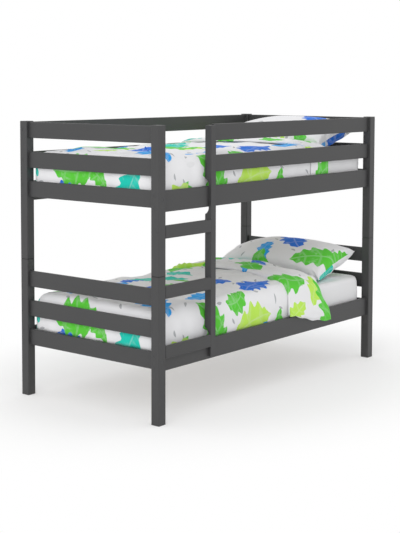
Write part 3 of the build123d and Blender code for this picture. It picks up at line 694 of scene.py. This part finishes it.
pillow = {"half": (0.208, 0.3925), "droop": 0.032, "lip": 0.982, "seam": 0.0024, "x": 0.7352, "above": 0.55,
          "below": 0.45, "drawn": (0.075, 0.045), "gathers": 0.10, "gathersLong": 19, "gathersShort": 13,
          "corner": 0.004, "farthest": 0.9535, "rest": 0.0012, "soft": 0.02, "rows": 56, "columns": 96,
          "thick": {"lower": 0.182, "upper": 0.158}, "lean": {"lower": 18.0, "upper": 15.0},
          "lift": {"lower": 0.0803, "upper": 0.070}, "print": {"lower": (3.1, 0.4), "upper": (3.1, 1.7)}}
air = {"frames": 16, "pressure": 3.0, "cap": 0.016, "quality": 6, "tension": 12, "compression": 12, "shear": 8,
       "bending": 0.25, "shrink": -0.045, "mass": 0.25}


def pointsOf(mesh):
    found = np.empty(len(mesh.vertices) * 3, np.float32)
    mesh.vertices.foreach_get("co", found)
    return found.reshape(-1, 3)


def movePoints(mesh, points):
    mesh.vertices.foreach_set("co", points.astype(np.float32).ravel())
    mesh.update()


def pillowSheets(tier):
    # two sheets that meet at a seam: the thickness is the root of one less powers of u and v, times ripples near the
    # seam, and the sides are drawn in between the corners by squares of u and v
    quarter = math.pi / 2
    u, v = np.meshgrid(np.sin(np.linspace(-1, 1, pillow["rows"]) * quarter),
                       np.sin(np.linspace(-1, 1, pillow["columns"]) * quarter), indexing="ij")
    halfU, halfV = pillow["half"]
    drawnU, drawnV = pillow["drawn"]
    x = halfU * u * (1 - drawnU * (1 - v**2) * np.abs(u) ** 2)
    y = halfV * v * (1 - drawnV * (1 - u**2) * np.abs(v) ** 2)
    body = np.clip(1 - (u / pillow["lip"]) ** 2, 0, 1) * np.clip(1 - np.abs(v / pillow["lip"]) ** 2.4, 0, 1)
    seamU = np.cos(v * pillow["gathersLong"] + 1) * (1 - np.abs(v))
    seamV = np.cos(u * pillow["gathersShort"]) * (1 - np.abs(u))
    nearU, nearV = eased(np.abs(u), 0.6, 0.97), eased(np.abs(v), 0.72, 0.98)
    ripple = 1 + pillow["gathers"] * seamU * nearU + pillow["gathers"] * seamV * nearV
    height = pillow["thick"][tier] * body**0.5 * ripple + pillow["seam"] * (1 - u**40) * (1 - v**40)
    droop = pillow["droop"] * eased(u, -0.3, 1.0) * eased(v, 0.15, 1.0)
    corner = pillow["corner"] * (np.abs(u) * np.abs(v)) ** 6 - droop
    upper = np.stack([x, y, pillow["above"] * height + corner], -1)
    lower = np.stack([x, y, -pillow["below"] * height + corner], -1)
    points = np.concatenate([upper, lower[::-1]])
    flat = np.concatenate([np.stack([x, y], -1), np.stack([0.5 - x, y], -1)[::-1]])
    # the two sheets share their ends, so the ring of rows closes on itself
    return np.concatenate([points, points[:1]]), np.concatenate([flat, flat[:1]])


def puffed(piece):
    # a short cloth run with air inside, each point held within a cap of where it began
    mesh = piece.data
    before = pointsOf(mesh)
    run = piece.modifiers.new("air", "CLOTH")
    settings = run.settings
    settings.quality = air["quality"]
    settings.use_pressure = True
    settings.uniform_pressure_force = air["pressure"]
    settings.effector_weights.gravity = 0
    settings.tension_stiffness = air["tension"]
    settings.compression_stiffness = air["compression"]
    settings.shear_stiffness = air["shear"]
    settings.bending_stiffness = air["bending"]
    settings.shrink_min = air["shrink"]
    settings.mass = air["mass"]
    run.point_cache.frame_start = 1
    run.point_cache.frame_end = air["frames"]
    for step in range(1, air["frames"] + 1):
        scene.frame_set(step)
    after = pointsOf(piece.evaluated_get(bpy.context.evaluated_depsgraph_get()).data)
    piece.modifiers.remove(run)
    scene.frame_set(1)
    move = after - before
    size = np.maximum(np.linalg.norm(move, axis=1, keepdims=True), 1e-9)
    movePoints(mesh, before + move / size * np.minimum(size, air["cap"]))
    print(piece.name, "moved up to", round(float(size.max()), 4))


def makePillow(tier):
    # a puffed cushion, turned to lean on the end rails; near the mattress its height closes on a floor as an
    # exponential, so that it lies flat there
    points, flat = pillowSheets(tier)
    piece = gridPiece(f"{tier}Pillow", points, flat + np.array(pillow["print"][tier]), cloth["print"])
    puffed(piece)
    place = pointsOf(piece.data).astype(float)
    lean = math.radians(pillow["lean"][tier])
    top = mattressTop(tier)
    x = pillow["x"] + place[:, 0] * math.cos(lean) - place[:, 2] * math.sin(lean)
    z = top + pillow["lift"][tier] + place[:, 0] * math.sin(lean) + place[:, 2] * math.cos(lean)
    x = np.minimum(x, pillow["farthest"])
    floor, soft = top + pillow["rest"], pillow["soft"]
    z = np.where(z < floor + soft, floor + soft * np.exp((z - floor - soft) / soft), z)
    movePoints(piece.data, np.column_stack([x, place[:, 1], z]))
    smooth = piece.modifiers.new("smooth", "SUBSURF")
    smooth.levels = smooth.render_levels = 1
    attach(piece, f"{tier}_bedding")
    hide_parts(f"{tier}_pillow")


for tier in tiers:
    makeMattress(tier)
    print(tier, "mattress made")
    cover = joined([makeDuvet(tier), makeFold(tier)], f"{tier}Duvet")
    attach(cover, f"{tier}_bedding")
    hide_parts(f"{tier}_duvet")
    print(tier, "duvet made")
    makePillow(tier)
    print(tier, "pillow made")


studio = {"floor": (0.90, 0.90, 0.90), "floorSize": 60, "world": 0.95, "backdrop": 1.0, "glow": 0.38,
          "whiteFrom": 0.85, "whiteBy": 1.6, "ovalShare": 0.8}
lamps = {"keyLamp": {"place": (-4.8, -1.5, 3.3), "aim": (0, 0, 0.6), "size": 3.0, "power": 58},
         "topLamp": {"place": (0.5, -0.5, 5.0), "aim": (0, 0, 0.5), "size": 4.0, "power": 6},
         "frontLamp": {"place": (1.2, -4.6, 3.5), "aim": (0, 0, 0.6), "size": 3.0, "power": 5}}


def makeFloor():
    bpy.ops.mesh.primitive_plane_add(size=studio["floorSize"], location=(0, 0, 0))
    floor = bpy.context.object
    floor.name = "studioFloor"
    finish = Finish("studioFloor", Roughness=1.0, Specular_IOR_Level=0.0)
    finish.feed("Base_Color", studio["floor"])
    paths = finish.node("ShaderNodeLightPath").socket.node.outputs
    seen = Flow(finish, paths["Is Camera Ray"]).high(Flow(finish, paths["Is Glossy Ray"]))
    glow = finish.node("ShaderNodeEmission", {}, {"Color": (1, 1, 1), "Strength": 1.0})
    body = Flow(finish, finish.shader.outputs[0])
    # round the bed the floor keeps its shadow, further out it is plain white to the eye
    place = finish.turned(finish.place(), (studio["ovalShare"], 1, 1))
    away = finish.node("ShaderNodeVectorMath", {"operation": "LENGTH"}, [place], 1)
    share = studio["glow"] + away.step(studio["whiteFrom"], studio["whiteBy"]) * (1 - studio["glow"])
    mixed = finish.node("ShaderNodeMixShader", {}, [seen * share, body, glow])
    finish.tree.links.new(mixed.socket, finish.tree.nodes["Material Output"].inputs["Surface"])
    floor.data.materials.append(finish.material)


def makeWorld():
    # one strength of white for the light, another for what the camera and reflections see
    world = bpy.data.worlds.new("studio")
    scene.world = world
    world.use_nodes = True
    tree = world.node_tree
    back = tree.nodes["Background"]
    back.inputs["Color"].default_value = (1, 1, 1, 1)
    paths = tree.nodes.new("ShaderNodeLightPath")
    seen = tree.nodes.new("ShaderNodeMath")
    seen.operation = "MAXIMUM"
    tree.links.new(paths.outputs["Is Camera Ray"], seen.inputs[0])
    tree.links.new(paths.outputs["Is Glossy Ray"], seen.inputs[1])
    level = tree.nodes.new("ShaderNodeMapRange")
    level.inputs["To Min"].default_value = studio["world"]
    level.inputs["To Max"].default_value = studio["backdrop"]
    tree.links.new(seen.outputs[0], level.inputs["Value"])
    tree.links.new(level.outputs[0], back.inputs["Strength"])


def makeLamp(name, place, aim, size, power):
    data = bpy.data.lights.new(name, "AREA")
    data.size = size
    data.energy = power
    lamp = bpy.data.objects.new(name, data)
    scene.collection.objects.link(lamp)
    lamp.location = place
    lamp.rotation_euler = (Vector(aim) - Vector(place)).to_track_quat("-Z", "Y").to_euler()


makeFloor()
makeWorld()
for lampName, values in lamps.items():
    makeLamp(lampName, **values)
print("studio lit")
